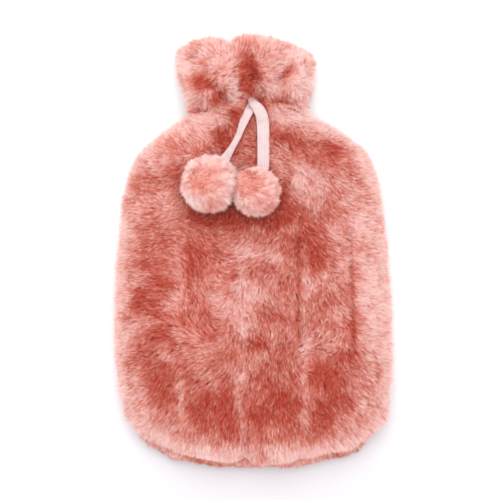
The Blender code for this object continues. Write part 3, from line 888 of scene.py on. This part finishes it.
def inner_faces(panel, bm):
    """The faces that look at the other panel across the pouch, where no pile grows."""
    across_pouch = Vector((0, 0, -panel.side))
    for face in bm.faces:
        middle = face.calc_center_median()
        outward = Vector((middle.x, middle.y - min(max(middle.y, SPINE[0]), SPINE[1]), 0)).normalized()
        if face.normal.z * panel.side < INNER_RISE and face.normal.dot(outward) < INNER_OUT:
            # The lip has the other panel over it only further out, so the look starts there
            on_lip = panel.side < 0 and middle.y < LIP_START + LIP_BAND
            probe = middle + outward * LIP_PROBE if on_lip else middle
            if solids[-panel.side].ray_cast(probe, across_pouch)[0]:
                yield face


def room_under(hit, unseen):
    """How deep the pile may be rooted: to the panel's inner side, or to the middle of a thin fold."""
    if hit[0] is None:
        return PLUSH_DEPTH
    return min((hit[3] + INTO_PLUSH) * (1.0 if hit[2] in unseen else 0.5), PLUSH_DEPTH)


def evened(values, edges):
    """Values at the corners of a mesh, evened out over their neighbours."""
    for _ in range(EVENING_ROUNDS):
        total, count = values.copy(), np.ones(len(values))
        for one, other in ((0, 1), (1, 0)):
            np.add.at(total, edges[:, one], values[edges[:, other]])
            np.add.at(count, edges[:, one], 1)
        values = total / count
    return values


def knitted_backing(panel, bm, places, depth):
    """The cloth under the pile, a sheet that follows the solid's folds."""
    under_pile = np.clip(depth - INTO_PLUSH, *BACKING_DEPTHS)
    if panel.side < 0:
        under_pile = np.where(places[:, 1] < LIP_START, np.minimum(under_pile, LIP_PILE), under_pile)
    for vert, down in zip(bm.verts, under_pile):
        vert.co = vert.co - vert.normal * float(down)
    name = panel.node + "_backing"
    cloth = new_piece(name, smooth_mesh(name, bm), backing)
    give_thickness(cloth, BACKING_THICK)
    return cloth


def tuft_shares(panel, places, normals, faces):
    """How many of a panel's tufts each face gets: as its area, fewer on what the cover lies on, and more in
    the ruffle's hollows and on the lip."""
    a, b, c = (places[faces[:, k]] for k in range(3))
    share = np.linalg.norm(np.cross(b - a, c - a), axis=1)
    middle, up = places[faces].mean(1), normals[faces].mean(1)
    if panel.side > 0:
        for within in in_hollows(middle):
            share *= 1 + HOLLOW_SHARE * within
    else:
        share[up[:, 2] < -0.9] *= GROUND_SHARE
        share[(middle[:, 1] < LIP_START) & (up[:, 2] > -0.3)] *= LIP_SHARE
    return share / share.sum()


rose_fur = fur_finish(
    "rose_fur",
    ((0.31, 0.014, 0.006), (0.61, 0.12, 0.075), (0.93, 0.47, 0.395)),
    ((0.51, 0.049, 0.023), (0.815, 0.33, 0.255), (1.0, 0.82, 0.79)),
    (1.0, 0.50, 0.43, 1))
backing, knit, backing_shader = new_finish("knitted_backing", Roughness=0.9)
loops_of_knit = knit.node("ShaderNodeTexNoise", s0=knit.node("ShaderNodeTexCoord", out=3), Scale=900.0)
feed(loops_of_knit.blend((0.40, 0.06, 0.042, 1), (0.58, 0.15, 0.105, 1)), backing_shader, "Base Color")

solids = {panel.side: BVHTree.FromPolygons(
    [v.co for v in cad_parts[panel.node].data.vertices],
    [list(p.vertices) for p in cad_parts[panel.node].data.polygons]) for panel in PANELS}
for panel in PANELS:
    front = panel.side > 0
    rng = np.random.default_rng(panel.seed)

    # The solid without its inner faces, and how deep and how steep it is at every corner
    bm = bmesh.new()
    bm.from_mesh(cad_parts[panel.node].data)
    bmesh.ops.remove_doubles(bm, verts=bm.verts[:], dist=0.00001)
    walls = BVHTree.FromBMesh(bm)
    inner = list(inner_faces(panel, bm))
    unseen = {face.index for face in inner}
    bmesh.ops.delete(bm, geom=inner, context="FACES")
    bm.normal_update()
    bm.verts.index_update()
    places = np.array([v.co for v in bm.verts])
    normals = np.array([v.normal for v in bm.verts])
    faces = np.array([[v.index for v in f.verts] for f in bm.faces])
    edges = np.array([[v.index for v in e.verts] for e in bm.edges])
    hits = [walls.ray_cast(v.co - v.normal * INTO_PLUSH, -v.normal) for v in bm.verts]
    depth = np.array([room_under(hit, unseen) for hit in hits])
    slope = evened(np.sqrt(1 - np.clip(normals[:, 2], -1, 1) ** 2), edges)
    cloth = knitted_backing(panel, bm, places, depth)

    # Where the tufts end
    pick = faces[rng.choice(len(faces), panel.tufts, p=tuft_shares(panel, places, normals, faces))]
    r1, r2 = np.sqrt(rng.random(panel.tufts)), rng.random(panel.tufts)
    parts = np.stack([1 - r1, r1 * (1 - r2), r1 * r2], 1)[:, :, None]
    spot = (places[pick] * parts).sum(1)
    up = unit((normals[pick] * parts).sum(1))
    deep = np.maximum((depth[pick][:, :, None] * parts).sum(1)[:, 0], LEAST_ROOM)
    steep = (slope[pick][:, :, None] * parts).sum(1)[:, 0]

    # The tone of the pile: mottled, with painted rim light that makes the steep rims paler, and paler on the ruffle
    # and low on the sides
    at_foot = ramp(-spot[:, 1], *FOOT)
    at_ruffle = ramp(spot[:, 1], *RUFFLE)
    rim = ramp(steep, *RIM) * (1 - NECK_LOSS * ramp(spot[:, 1], *NECK))
    if front:  # but not down in the ruffle's hollows
        for within in in_hollows(spot):
            rim *= 1 - within
    tone = BASE_TONE + layered(spot, [(TONE_SIZE, panel.mottle, 1 + panel.side), *TONE_LUMPS])
    # Painted rim light on the steep rims, and at the foot by the foot's own steepness
    painted_rim_light = rim * (1 - at_foot) + ramp(steep, *FOOT_RIM) * at_foot
    tone += RIM_LIGHT_TONE * painted_rim_light * (1 - SIDE_LOSS * ramp(steep, *SIDE))
    tone += RUFFLE_TONE * at_ruffle

    # The way it lies: in swirls, outwards at the edges and combed down at the sides
    away = spot * [1, 1, 0]
    away[:, 1] -= np.clip(spot[:, 1], *SPINE)
    outwards = np.clip(np.linalg.norm(away, axis=1) / HALF_WIDTH, 0, 1)[:, None] ** 3
    swirl = layered(spot, SWIRLS)
    lie = np.stack([np.sin(swirl), -np.cos(swirl), 0 * swirl], 1) * (1 - SWIRL_LOSS * outwards)
    lie += OUTWARD * unit(away) * outwards
    lie[:, 2] -= COMBING * ramp(steep, *COMBED_DOWN)

    # How far its ends stand out: in soft lumps, more on the ruffle and less at the rims
    relief = layered(spot, RELIEF_LUMPS)
    relief *= 1 + RUFFLE_RELIEF * at_ruffle
    relief -= RIM_SUNK * rim * ramp(spot[:, 1], *ABOVE_FOOT)
    facing = unit(up + [0, 0, panel.upturn])
    if front:
        # Patches of tone: the deep ones under and between the pompoms, beside the left ribbon and in the hollows,
        # slits and folds are painted shade
        tone += patch_tone(spot)
        lie += brushed(spot)
        facing = unit(facing + slope_of(crease_depth, spot))
        hang = [places[abs(places[:, 0] - x) < FOOT_REACH, 1].min() - y for x, y in zip(foot_x, foot_y)]
        relief += at_foot * rim * np.clip(np.interp(spot[:, 0], foot_x, hang) - HANG_IN, -HANG_IN, HANG_OUT)
        pressed = crease_depth(spot)
        # painted shade where the pile is pressed into a crease or hollow, painted light on a ridge
        tone -= CREASE_SHADE_TONE * pressed
        for shaded in beside_ribbons(spot):
            tone -= RIBBON_SHADE * shaded
        deep = np.maximum(deep - pressed, LEAST_PRESSED)
        spot = spot - np.array([0, 0, 1]) * pressed[:, None]
    else:  # the back shows past the front as a low fringe at the foot, and at the ruffle's corners
        lip = ramp(-spot[:, 1], *LIP)
        # Its lip is a little paler, and its ruffle's rims get painted rim light as well
        tone += LIP_TONE * lip + RUFFLE_TONE * rim * at_ruffle
        relief += lip * (LIP_OUT - LIP_SUNK * np.clip(up[:, 2], 0, 1))
        relief -= BACK_SUNK * rim * at_ruffle
        across, along = RUFFLE_CORNER
        relief += CORNER_OUT * ramp(abs(spot[:, 0] - NECK_MIDDLE), *across) * ramp(spot[:, 1], *along)
        deep = deep * (1 - lip) + LIP_ROOM * lip
    relief = np.maximum(relief, -INTO_ROOM * (deep - UNDER_ROOTS))
    spot = spot + up * relief[:, None]
    lie = unit(across_to(unit(lie), up))
    tone = np.where(tone < DEEP_TONE, DEEP_TONE * np.exp(tone / DEEP_TONE - 1), tone)
    halo = rim * (1 + HALO * ramp(spot[:, 1], *RUFFLE))
    root, tip, tone, facing = grow(rng, panel.pile, spot, up, lie, deep, tone, facing, halo)
    for points in (root, tip):
        points[:, 2] = np.maximum(points[:, 2], OVER_TABLE)
    if front:
        trim_foot(rng, root, tip)
        press_under_ribbons(tip)
    for number, strip in enumerate(np.array_split(np.argsort(root[:, 1]), panel.pieces)):
        fur = strand_piece(f"{panel.node}_pile_{number + 1}", panel.pile, root[strip], tip[strip], tone[strip],
                           facing[strip], rose_fur)
        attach(fur, "root")
    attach(cloth, "root")
    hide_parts(panel.node)

# ---- The table ----
# A wide white surface, lit softly from the head of the table. From under the cover's foot to a little past it, it
# is painted a little grey, a painted shade where the light falls off.
TABLE_REACH = 6.0
TABLE_WHITE = (0.88, 0.88, 0.88, 1)
TABLE_PAINTED_SHADE = (0.645, 0.622, 0.665, 1)
PAINTED_SHADE_STARTS = (-0.06, -0.24)  # along Y, towards the foot
PAINTED_SHADE_ENDS = (-0.32, -0.60)
bm = bmesh.new()
bmesh.ops.create_grid(bm, x_segments=1, y_segments=1, size=TABLE_REACH)
white, tabletop, white_shader = new_finish("white_table", Roughness=0.7)
along_table = tabletop.node("ShaderNodeSeparateXYZ", out=1, s0=tabletop.node("ShaderNodeTexCoord", out=3))
# Painted shade: darker towards the foot, fading out further on
painted_shade = along_table.rise(*PAINTED_SHADE_STARTS) * (1.0 - along_table.rise(*PAINTED_SHADE_ENDS))
feed(painted_shade.blend(TABLE_WHITE, TABLE_PAINTED_SHADE), white_shader, "Base Color")
table = new_piece("table_top", smooth_mesh("table_top", bm), white)

world = bpy.data.worlds.new("studio")
world.use_nodes = True
world.node_tree.nodes["Background"].inputs["Color"].default_value = (1.0, 1.0, 1.0, 1)
world.node_tree.nodes["Background"].inputs["Strength"].default_value = 1.0
bpy.context.scene.world = world
bpy.context.scene.view_settings.view_transform = "Standard"

Lamp = namedtuple("Lamp", "name place size power")  # every lamp shines at the middle of the table
LAMPS = [
    Lamp("head_softbox", (-0.12, 0.65, 1.5), 1.2, 14.5),
    Lamp("overhead", (0.1, 0.1, 1.9), 1.0, 7.5),
    Lamp("foot_fill", (0.45, -1.5, 0.40), 1.4, 3.5),
]
for lamp in LAMPS:
    light = bpy.data.lights.new(lamp.name, "AREA")
    light.size, light.energy = lamp.size, lamp.power
    holder = bpy.data.objects.new(lamp.name, light)
    holder.location = lamp.place
    holder.rotation_euler = (-Vector(lamp.place)).to_track_quat("-Z", "Y").to_euler()
    bpy.context.scene.collection.objects.link(holder)
